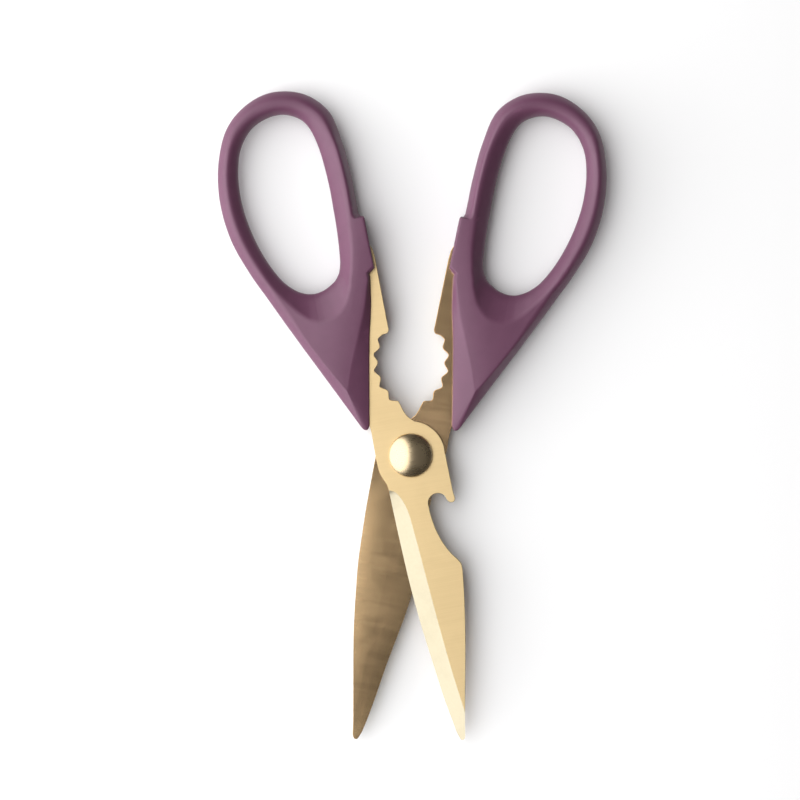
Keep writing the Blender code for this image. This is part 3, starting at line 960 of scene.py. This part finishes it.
@dataclass
class Blade:
    """One blade with its tang: a stamped plate, ground along its cutting edge.

    Attributes:
        half: Which half it is.
        shape: Its outlines.
        rim: Radius of its softened rims, in millimetres.
        edge_left: Thickness left at the cutting edge, in millimetres.
        crown: How strongly the belt has rounded the inner face, for each millimetre.
        belt_start: Where the rounded stretch begins, below the pivot, in millimetres.
        belt_end: Where the belt has left the blade, in millimetres.
        belt_reach: How far the belt reaches to each side, in millimetres.
        belt_run_in: Share of the stretch over which the rounding begins.
        belt_side: How far from the middle the highest line starts, in millimetres.
        recess_radius: Radius of the friction washer's recess, in millimetres.
        recess_depth: How deep the recess is, in millimetres.
    """

    half: Half
    shape: BladeShape = field(default_factory=BladeShape)
    rim: float = 0.14
    edge_left: float = 0.28
    crown: float = 0.0009
    belt_start: float = -3.0
    belt_end: float = -99.0
    belt_reach: float = 15.0
    belt_run_in: float = 0.25
    belt_side: float = -2.5
    recess_radius: float = 5.9
    recess_depth: float = 0.8

    def grind_tool(self, levels: Levels) -> bpy.types.Mesh:
        """What the grinding wheel takes off: a ruled face from the grind line to the cutting edge.

        Each section is the grind line's x and y, the cutting edge's x and y, and the depth's share.

        Args:
            levels: The model's levels.

        Returns:
            A closed mesh over the ground part.
        """
        belly = 0.0 if self.half is Half.FRONT else 0.5
        stations = smooth([
            (-8.8, -10.1, -9.3, -10.0, 0.0), (-7.4, -10.9, -9.3, -11.6, 0.3),
            (-6.2, -12.5, -9.3 - belly, -13.9, 0.62), (-5.1, -15.0, -9.3 - belly, -16.8, 0.86),
            (-4.2, -18.6, -9.2 - belly, -20.4, 0.97), (-3.8, -22.5, -9.1 - belly, -24.4, 1.0),
            (-3.0, -33.0, -8.7 - 2 * belly, -34.5, 1.0), (-2.2, -45.0, -8.0 - 3 * belly, -46.5, 1.0),
            (-1.2, -58.5, -7.0 - belly, -60.0, 1.0), (-0.2, -70.0, -5.5 - belly, -71.5, 1.0),
            (0.9, -80.0, -4.2 - belly, -81.5, 1.0), (1.9, -88.0, -2.9 - belly, -89.5, 1.0),
            (3.0, -98.0, -1.4 - belly, -99.5, 1.0)], 6)
        depth = levels.outer - levels.inner - self.edge_left
        high = np.array((0.0, 0.0, 4.0))
        rings = []
        for line_x, line_y, edge_x, edge_y, share in stations:
            line = np.array((line_x, line_y, levels.outer))
            edge = np.array((edge_x, edge_y, levels.outer - depth * min(share, 1.0)))
            past = edge + (edge - line) * 0.6
            back = line - (edge - line) * 0.02
            rings.append([tuple(back), tuple(past), tuple(past + high), tuple(back + high)])
        return loft(self.half.value + "_grind", rings, True)

    def belt_tool(self, levels: Levels) -> bpy.types.Mesh:
        """What the grinding belt takes off the inner face: a very flat crown with a slight twist.

        Args:
            levels: The model's levels.

        Returns:
            A closed mesh below the inner face.
        """
        clear = levels.inner - 0.002
        bottom = levels.inner - 3.0
        reach = self.belt_reach
        rings = []
        for y in np.linspace(self.belt_start, self.belt_end, 33):
            along = (self.belt_start - y) / (self.belt_start - self.belt_end)
            begun = min(1.0, along / self.belt_run_in)
            begun = begun * begun * (3 - 2 * begun)
            highest = self.belt_side * (1 - along)
            ring = [(x, y, clear + self.crown * begun * (x - highest) ** 2)
                    for x in np.linspace(-reach, reach, 31)]
            rings.append(ring + [(reach, y, bottom), (-reach, y, bottom)])
        return loft(self.half.value + "_belt", rings, True)

    def mesh(self, levels: Levels) -> bpy.types.Mesh:
        """Stamp the plate, bore and grind it.

        Args:
            levels: The model's levels.

        Returns:
            The blade's mesh, with its faces numbered for their finishes.
        """
        holes = [circle((0, 0), self.shape.pivot_hole)]
        holes += [circle((x, y), radius, 40) for x, y, radius in self.shape.key_holes]
        name = self.half.value + "_blade_finished"
        stamped = plate(name, [self.shape.outline(self.half), *holes], levels.inner, levels.outer, self.rim)
        tools = [self.grind_tool(levels), self.belt_tool(levels)]
        if self.half is Half.REAR:
            tools.append(plate("washer_recess", [circle((0, 0), self.recess_radius)], -1.0,
                               levels.inner + self.recess_depth))
        mesh = without(stamped, *tools)
        shade(mesh, 8.0)
        for face in mesh.polygons:
            face.material_index = self.finish_number(face, levels)
            face.use_smooth = abs(face.normal.z) < 0.999999
        return mesh

    def finish_number(self, face: bpy.types.MeshPolygon, levels: Levels) -> int:
        """Which finish a face has: 0 outer, 1 bevel, 2 cut edge, 3 inner face, 4 inner face of the tang.

        Args:
            face: A face of the blade's mesh.
            levels: The model's levels.

        Returns:
            The finish's number.
        """
        level = face.normal.z > 0.9995
        if level and face.center.z > (levels.outer - 0.01) * MM:
            return 0
        ground = face.normal.z > 0.8
        if ground and face.center.y < -9.5 * MM:
            return 1
        underneath = face.normal.z < -0.9
        if underneath:
            return 3 if face.center.y < self.belt_start * MM else 4
        return 2

    def build(self, shop: Workshop) -> None:
        """Make the blade and put it in its half.

        Args:
            shop: The workshop that places it.
        """
        palette = shop.palette
        finishes = [palette.face, palette.bevel, palette.wall, palette.inner, palette.tang]
        node = self.half.value + "_blade"
        shop.place(self.mesh(shop.levels), self.half, node, "blade_steel", finishes)


# ---------------------------------------------------------------- handles

@dataclass(frozen=True)
class Station:
    """A section of the handle: four lines on its upper side, from the outer edge to the hole.

    Attributes:
        outer: The outer edge.
        ridge: Where the outer slope meets the flat top.
        crest: Where the flat top meets the slope to the finger hole.
        hole: The edge of the finger hole.
        edge: Half the height of the outer wall.
        rounds: Rounding of the hole's rim, the crest, the ridge and the outer rim.
    """

    outer: Point
    ridge: Point
    crest: Point
    hole: Point
    edge: float
    rounds: tuple[float, float, float, float]

    def row(self) -> tuple[float, ...]:
        """Its numbers in one row, so that sections can be blended."""
        return (*self.outer, *self.ridge, *self.crest, *self.hole, self.edge, *self.rounds)


@dataclass
class Handle:
    """One plastic handle: a loop with a roof-shaped bar, a faceted wedge and a stop.

    Attributes:
        half: Which half it is on.
        loop_edge: Half the height of the loop's walls, in millimetres.
        crest_flat: Width of the loop's crest, as a share of its rounding.
        loop_drop: How much lower the loop stands than the stop, in millimetres.
        fall: Over what width the top falls away from its highest line, in millimetres.
        lip: Plastic between the tang's slot and the wedge's edge, in millimetres.
        slot_fit: Gap around the tang, in millimetres.
        stop_face: Where the stop's face stands, in millimetres.
        stop_chamfer: Chamfer along the stop, in millimetres.
        highest_through: A point that the wedge's highest line lies beside, in millimetres.
        falls_towards: The direction in which the top falls away from that line.
        highest_offset: How far the line lies from the point that way, in millimetres.
        pocket: Low and high end of the room for the other half's tang, in millimetres.
        pocket_width: How far that room reaches into the handle, in millimetres.
        splits: Where points are added between a section's corners.
        steps: How finely each of the runs is divided.
    """

    half: Half
    loop_edge: float = 1.3
    crest_flat: float = 1.1
    loop_drop: float = 1.7
    fall: float = 14.0
    lip: float = 0.75
    slot_fit: float = 0.12
    stop_face: float = -0.15
    stop_chamfer: float = 0.5
    highest_through: Point = (-16.5, 24.8)
    falls_towards: Point = (-0.943, 0.333)
    highest_offset: float = 4.0
    pocket: Point = (58.0, 75.0)
    pocket_width: float = 5.0
    splits: tuple[tuple[float, ...], ...] = (
        (0.5,), (0.3, 0.6, 0.85), (0.15, 0.3, 0.45, 0.6, 0.75, 0.9), (0.5,))
    steps: tuple[int, ...] = (9, 4, 8, 2, 2, 6, 3, 2)

    def loop(self, outer: Point, hole: Point, crest: float = 0.45, soft: float = 1.5) -> Station:
        """A section of the loop, whose crest is a share of the way in from its outer edge.

        Args:
            outer: The loop's outer edge.
            hole: The edge of the finger hole.
            crest: How far in the crest lies, as a share.
            soft: Rounding of the crest's two sides, in millimetres.

        Returns:
            The section.
        """
        start = np.array(outer)
        end = np.array(hole)
        flat = soft * self.crest_flat / 2 / np.linalg.norm(end - start)
        ridge = start + (end - start) * (crest - flat)
        inner = start + (end - start) * (crest + flat)
        return Station(outer, tuple(ridge), tuple(inner), hole, self.loop_edge, (3.2, soft, soft, 3.2))

    def wedge(self, outer: Point, ridge: Point, crest: Point, hole: Point, edge: float,
              ridge_round: float = 0.8, outer_round: float = 0.8, hole_round: float = 3.2) -> Station:
        """A section of the wedge or the stop."""
        return Station(outer, ridge, crest, hole, edge, (hole_round, 1.0, ridge_round, outer_round))

    def runs(self, levels: Levels) -> tuple[list[Station], ...]:
        """Sections around the finger hole, anticlockwise from the stop, in runs that meet in corners.

        Args:
            levels: The model's levels.

        Returns:
            The runs, the last of which ends at the first one's beginning.
        """
        facet = levels.outer + self.lip
        top_edge = levels.handle - self.stop_chamfer
        low = self.loop_edge
        stop = self.stop_face
        ridge_x = stop - self.stop_chamfer
        loop = [
            self.loop((-1.75, 81.6), (-9.8, 81.3), 0.35),
            self.loop((-1.8, 84.5), (-9.75, 84.5), 0.34),
            self.loop((-1.8, 93), (-9.7, 93), 0.34),
            self.loop((-2.7, 106), (-10.8, 106), 0.37),
            self.loop((-5.4, 117), (-13.4, 113.9), 0.46, 2.3),
            self.loop((-12.4, 123.8), (-17.9, 117.5), 0.52, 2.8),
            self.loop((-22.3, 126.2), (-23.6, 118.4), 0.57, 2.8),
            self.loop((-31.6, 123.6), (-30.6, 116.0), 0.52, 2.8),
            self.loop((-39.3, 117.2), (-35.6, 110.4), 0.46, 2.3),
            self.loop((-44.3, 106), (-38.3, 102.2)),
            self.loop((-46.1, 93.5), (-39.0, 92.5)),
            self.loop((-44.8, 80.5), (-37.7, 82.2)),
            self.loop((-40.5, 68), (-34.6, 72)),
            self.wedge((-36.8, 60), (-34.5, 61.1), (-33.3, 61.7), (-30.9, 64.7), low, 1.2, 1.8, 2.2),
            self.wedge((-33.4, 52.5), (-31.3, 53.7), (-28.4, 54.6), (-27.5, 60.9),
                       low + 0.2, 1.2, 1.7, 3.0),
            self.wedge((-28, 41), (-26.2, 42.0), (-24.6, 50.4), (-24.3, 58.95), low + 0.6, 1.1, 1.5),
            self.wedge((-20, 24.3), (-18.5, 27.8), (-21.6, 48.79), (-21.6, 58.31), 2.5, 1.0, 1.2),
            self.wedge((-14.3, 12.4), (-16.9, 25.6), (-20.7, 48.55), (-21.0, 58.28), facet),
        ]
        tip = [
            loop[-1],
            self.wedge((-13.5, 11.2), (-16.7, 25.0), (-20.2, 48.47), (-20.6, 58.29), facet),
            self.wedge((-12.4, 10.9), (-16.5, 24.8), (-19.7, 48.42), (-20.2, 58.31), facet),
            self.wedge((-11.4, 12.2), (-16.1, 25.6), (-19.1, 48.4), (-19.7, 58.36), facet),
        ]
        blade_side = [
            tip[-1],
            self.wedge((-10.0, 20), (-13.9, 32.0), (-17.2, 48.68), (-18.1, 58.74), facet, 0.7, 0.6),
            self.wedge((-6.1, 40), (-9.4, 42.0), (-14.2, 50.1), (-15.9, 59.7), facet, 0.7, 0.6),
            self.wedge((-3.7, 50), (-5.7, 50.6), (-11.4, 53.2), (-13.6, 61.2), facet, 0.7, 0.6),
            self.wedge((-2.0, 60), (-2.7, 59.7), (-9.2, 57.9), (-11.9, 63.4), facet, 0.6, 0.6, 2.6),
        ]
        step = [
            blade_side[-1],
            self.wedge((-2.1, 61.2), (-2.8, 61.7), (-8.7, 60.2), (-11.3, 65.0), facet + 0.4, 0.6, 0.6, 2.4),
        ]
        slant = [
            step[-1],
            self.wedge((stop, 62.8), (ridge_x, 63.5), (-7.8, 62.9), (-10.8, 67.0), top_edge, 0.5, 0.5, 2.2),
        ]
        side = [
            slant[-1],
            self.wedge((stop, 71), (ridge_x, 71), (-6.2, 70.5), (-10.2, 73.0), top_edge, 0.5, 0.5, 2.0),
            self.wedge((stop, 79.4), (ridge_x, 79.0), (-5.5, 79.0), (-9.85, 79.3), top_edge, 0.5, 0.5, 2.0),
        ]
        corner = [
            side[-1],
            self.wedge((stop - 0.3, 80.1), (ridge_x - 0.15, 79.5), (-5.45, 79.4), (-9.84, 79.7),
                       top_edge - 0.3, 0.4, 0.5, 2.0),
            self.wedge((-1.3, 80.4), (-3.4, 79.8), (-5.4, 79.8), (-9.82, 80.2), 3.4, 0.4, 0.5, 2.0),
        ]
        shoulder = [corner[-1], loop[0]]
        return loop, tip, blade_side, step, slant, side, corner, shoulder

    def top_at(self, spot: np.ndarray, levels: Levels) -> float:
        """Height of the handle's top at a spot: a low crown, highest near the inner ridge.

        Args:
            spot: Where, in millimetres.
            levels: The model's levels.

        Returns:
            The height above the plane where the blades meet.
        """
        from_point = spot - np.array(self.highest_through)
        away = float(np.dot(from_point, np.array(self.falls_towards))) - self.highest_offset
        return levels.handle - self.loop_drop * (1 - math.exp(-(away / self.fall) ** 2))

    def section(self, row: np.ndarray, levels: Levels) -> list[Point3]:
        """One closed ring around the bar, with its corners rounded.

        Args:
            row: A station's numbers.
            levels: The model's levels.

        Returns:
            The ring's points, from the finger hole over the top and back underneath.
        """
        outer, ridge, crest, hole = row[0:2], row[2:4], row[4:6], row[6:8]
        edge, rounds = row[8], row[9:13]
        crest_height = self.top_at(crest, levels)
        ridge_height = self.top_at(ridge, levels)
        corners = [
            (hole, 0.0, 0.0), (hole, self.loop_edge, rounds[0]), (crest, crest_height, rounds[1]),
            (ridge, ridge_height, rounds[2]), (outer, edge, rounds[3]), (outer, 0.0, 0.0),
        ]
        spots = [np.array((*corner[0], corner[1])) for corner in corners]
        upper = [spots[0]]
        for i in range(1, len(corners) - 1):
            before, here, after = spots[i - 1], spots[i], spots[i + 1]
            share_in = WALL_SHARE if i == 1 else CORNER_SHARE
            share_out = WALL_SHARE if i == 4 else CORNER_SHARE
            reach_in = min(corners[i][2], share_in * np.linalg.norm(before - here))
            reach_out = min(corners[i][2], share_out * np.linalg.norm(after - here))
            start = here + (before - here) / np.linalg.norm(before - here) * reach_in
            end = here + (after - here) / np.linalg.norm(after - here) * reach_out
            between = [upper[-1] + (start - upper[-1]) * t for t in self.splits[i - 1]]
            if i == 3:
                for spot in between:
                    spot[2] = self.top_at(spot[:2], levels)
            upper += between + [start * (1 - t) ** 2 + here * 2 * t * (1 - t) + end * t ** 2
                                 for t in np.linspace(0.0, 1.0, 7)]
        upper.append(spots[-1])
        lower = [np.array((x, y, -z)) for x, y, z in upper[-2:0:-1]]
        return [tuple(spot) for spot in upper + lower]

    def mesh(self, levels: Levels) -> bpy.types.Mesh:
        """Mould the handle around its tang.

        Args:
            levels: The model's levels.

        Returns:
            The handle's mesh.
        """
        rows: list[np.ndarray] = []
        for run, steps in zip(self.runs(levels), self.steps):
            rows += smooth([station.row() for station in run], steps)[1:]
        sections = [self.section(row, levels) for row in rows]
        moulded = loft(self.half.value + "_handle_finished", sections, False)
        shape = BladeShape()
        pegs = [circle((x, y), radius - self.slot_fit, 40) for x, y, radius in shape.key_holes]
        slot = plate("slot", [grown(shape.outline(self.half), self.slot_fit), *pegs],
                     levels.inner - self.slot_fit, levels.outer + self.slot_fit)
        left = -shape.tang_edge - 0.3
        right = left + self.pocket_width
        low, high = self.pocket
        room = plate("room", [[(left, low), (right, low), (right, high), (left, high)]],
                     -levels.outer - 0.3, levels.inner - self.slot_fit / 2)
        mesh = without(moulded, slot, room)
        shade(mesh, 32.0)
        return mesh

    def build(self, shop: Workshop) -> None:
        """Make the handle and put it on its half."""
        node = self.half.value + "_handle"
        shop.place(self.mesh(shop.levels), self.half, node, "handle_plastic", [shop.palette.handle])


# ---------------------------------------------------------------- pivot

@dataclass
class Pivot:
    """The two-part pivot with its washers, in millimetres.

    Attributes:
        sleeve_radius: Radius of the nut's sleeve, on which the blades turn.
        screw_radius: Radius of the screw's shank.
        dome_radius: Radius of the nut's head.
        dome_rim: Height of the head's upright rim.
        dome_rise: How far the dome rises over its rim.
        head_radius: Radius of the screw's flat head.
        washer_radius: Radius of both washers.
        washer_thickness: Thickness of both washers.
        drive_offset: How far each spanner hole is from the middle.
        drive_radius: Radius of the spanner holes.
        fit: Gap between pieces that move on each other.
        stand_off: How far the head stands off the blade.
        sharp: Angle from which an edge stays sharp in the shading, in degrees.
    """

    sleeve_radius: float = 3.5
    screw_radius: float = 2.1
    dome_radius: float = 7.2
    dome_rim: float = 0.6
    dome_rise: float = 2.6
    head_radius: float = 6.2
    washer_radius: float = 5.6
    washer_thickness: float = 0.5
    drive_offset: float = 3.6
    drive_radius: float = 0.8
    fit: float = 0.3
    stand_off: float = 0.02
    sharp: float = 35.0

    def nut(self, levels: Levels) -> bpy.types.Mesh:
        """The domed nut with its sleeve.

        Args:
            levels: The model's levels.

        Returns:
            Its mesh.
        """
        seat = levels.outer + self.stand_off
        rim = levels.outer + self.fit + self.dome_rim
        sphere = (self.dome_radius ** 2 + self.dome_rise ** 2) / (2 * self.dome_rise)
        widest = math.degrees(math.asin(self.dome_radius / sphere))
        dome = arc((0, rim + self.dome_rise - sphere), sphere, 90, 90 - widest + 1.5, 28)
        sleeve_end = -levels.outer + 0.4
        bore = self.screw_radius + 0.1
        below = rounded_profile([
            (*dome[-1], 0.0), (self.dome_radius, rim - 0.1, 0.35), (self.dome_radius, seat, 0.2),
            (self.sleeve_radius, seat, 0.0), (self.sleeve_radius, sleeve_end, 0.2), (bore, sleeve_end, 0.1),
            (bore, rim + 0.2, 0.0), (0.0, rim + 0.2, 0.0)])
        mesh = turned("pivot_nut_finished", dome + below[1:])
        shade(mesh, self.sharp)
        return mesh

    def screw(self, levels: Levels) -> bpy.types.Mesh:
        """The flat-headed screw with two spanner holes.

        Args:
            levels: The model's levels.

        Returns:
            Its mesh.
        """
        low = -levels.handle
        seat = -levels.outer - self.fit - self.washer_thickness - self.fit
        end = levels.outer + self.dome_rim
        profile = rounded_profile([
            (0.0, end, 0.0), (self.screw_radius, end, 0.4), (self.screw_radius, seat, 0.1),
            (self.head_radius, seat, 0.15), (self.head_radius, low, 0.45), (0.0, low, 0.0)], 6)
        body = turned("pivot_screw_finished", profile)
        depth = (seat - low) / 2
        drives = [plate("drive", [circle((x, 0), self.drive_radius, 40)], low - depth, low + depth)
                  for x in (-self.drive_offset, self.drive_offset)]
        mesh = without(body, *drives)
        shade(mesh, self.sharp)
        return mesh

    def washer(self, name: str, bore: float, low: float) -> bpy.types.Mesh:
        """A flat washer with rounded rims, standing on a level.

        Args:
            name: The washer's name.
            bore: Radius of its hole.
            low: Level of its underside.

        Returns:
            Its mesh.
        """
        rings = [circle((0, 0), self.washer_radius, 96), circle((0, 0), bore, 72)]
        mesh = plate(name + "_finished", rings, low, low + self.washer_thickness, 0.08)
        shade(mesh, self.sharp)
        return mesh

    def build(self, shop: Workshop) -> None:
        """Make the pivot's pieces and put each on its half.

        Args:
            shop: The workshop that places them.
        """
        levels = shop.levels
        palette = shop.palette
        friction = self.washer("friction_washer", self.sleeve_radius + self.fit, levels.inner)
        spring = self.washer("spring_washer", self.screw_radius + self.fit, levels.outer + self.fit)
        shop.place(self.nut(levels), Half.FRONT, "pivot_nut", "pivot_steel", [palette.dome])
        shop.place(self.screw(levels), Half.FRONT, "pivot_screw", "pivot_steel", [palette.dome])
        shop.place(friction, Half.REAR, "friction_washer", "washer_plastic", [palette.acetal])
        shop.place(spring, Half.REAR, "spring_washer", "spring_steel", [palette.spring])


# ---------------------------------------------------------------- studio

@dataclass(frozen=True)
class Lamp:
    """A soft box that faces the shears, in metres and degrees.

    Attributes:
        name: The lamp's name.
        side: Where it stands around them, from +X.
        height: Its middle's angle above the table.
        distance: How far off it is.
        width: Its size along the table.
        length: Its size up and down.
        radiance: Brightness of its face.
        glossy: Whether it shows in reflections.
        oval: Whether its face is an ellipse.
    """

    name: str
    side: float
    height: float
    distance: float
    width: float
    length: float
    radiance: float
    glossy: bool = False
    oval: bool = False

    def build(self) -> None:
        """Hang the lamp and turn it towards the shears."""
        across = math.radians(self.side)
        up = math.radians(self.height)
        place = Vector((math.cos(across) * math.cos(up), math.sin(across) * math.cos(up), math.sin(up)))
        area = self.width * self.length * (math.pi / 4 if self.oval else 1.0)
        data = bpy.data.lights.new(self.name, "AREA")
        data.shape = "ELLIPSE" if self.oval else "RECTANGLE"
        data.size = self.width
        data.size_y = self.length
        data.energy = self.radiance * math.pi * area
        lamp = linked(self.name, data)
        lamp.location = place * self.distance
        lamp.rotation_euler = place.to_track_quat("Z", "Y").to_euler()
        lamp.visible_camera = False
        lamp.visible_glossy = self.glossy


@dataclass
class Studio:
    """The table, the light and the camera, in metres.

    Attributes:
        centre: The point on the table that the camera looks at.
        frame_width: Width of the picture at the blades' height.
        lens: Focal length, in millimetres.
        roll: The camera's turn about its own axis, in degrees.
        table_reach: Half the width of the table top.
        table_colour: The table top's colour.
        room_colour: The colour of the light that comes from all round.
        room_strength: Its strength.
        lamps: A large window on the left, three lamps that don't show in reflections, and a faint
            wide panel that does.
    """

    centre: Point = (-0.0036, 0.0182)
    frame_width: float = 0.264
    lens: float = 135.0
    roll: float = 0.35
    table_reach: float = 3.0
    table_colour: Colour = (0.90, 0.90, 0.905, 1.0)
    room_colour: Colour = (1.0, 0.93, 0.88, 1.0)
    room_strength: float = 0.062
    lamps: tuple[Lamp, ...] = (
        Lamp("window_left", 180.0, 44.0, 0.9, 2.6, 1.62, radiance=2.5, glossy=True, oval=True),
        Lamp("low_front_left", 200.0, 8.0, 1.5, 1.8, 0.36, radiance=5.2),
        Lamp("low_left", 178.0, 16.0, 1.5, 1.4, 0.5, radiance=3.0),
        Lamp("ceiling", 180.0, 89.0, 1.5, 1.2, 1.2, radiance=0.5),
        Lamp("pale_room", 0.0, 74.0, 1.5, 2.6, 2.4, radiance=0.09, glossy=True),
    )

    def table(self) -> None:
        """A wide pale table top."""
        mesh = bpy.data.meshes.new("table_top")
        shell = bmesh.new()
        bmesh.ops.create_grid(shell, x_segments=1, y_segments=1, size=self.table_reach)
        shell.to_mesh(mesh)
        shell.free()
        top = linked("table_top", mesh)
        material = bpy.data.materials.new("table_white")
        material.use_nodes = True
        shader = material.node_tree.nodes["Principled BSDF"]
        shader.inputs["Base Color"].default_value = self.table_colour
        shader.inputs["Roughness"].default_value = 0.9
        shader.inputs["Specular IOR Level"].default_value = 0.1
        mesh.materials.append(material)

    def light(self) -> None:
        """Hang the lamps and set the light that comes from all round."""
        for lamp in self.lamps:
            lamp.build()
        world = bpy.data.worlds.new("room")
        world.use_nodes = True
        background = world.node_tree.nodes["Background"]
        background.inputs["Color"].default_value = self.room_colour
        background.inputs["Strength"].default_value = self.room_strength
        bpy.context.scene.world = world

    def camera(self, levels: Levels) -> None:
        """A long lens looking straight down.

        Args:
            levels: The model's levels.
        """
        data = bpy.data.cameras.new("overhead_camera")
        data.lens = self.lens
        data.sensor_width = 36.0
        data.clip_end = 20.0
        camera = linked("overhead_camera", data)
        distance = self.frame_width * self.lens / data.sensor_width
        camera.location = (*self.centre, levels.middle * MM + distance)
        camera.rotation_euler = (0.0, 0.0, math.radians(self.roll))
        bpy.context.scene.camera = camera

    def build(self, levels: Levels) -> None:
        """Set up the whole studio.

        Args:
            levels: The model's levels.
        """
        self.table()
        self.light()
        self.camera(levels)
        bpy.context.scene.view_settings.view_transform = "Standard"


def main() -> None:
    """Build the shears and the studio."""
    logging.basicConfig(level=logging.INFO, format="%(message)s")
    shop = Workshop()
    for half in Half:
        Blade(half).build(shop)
        Handle(half).build(shop)
    Pivot().build(shop)
    Studio().build(shop.levels)


if __name__ == "__main__":
    main()
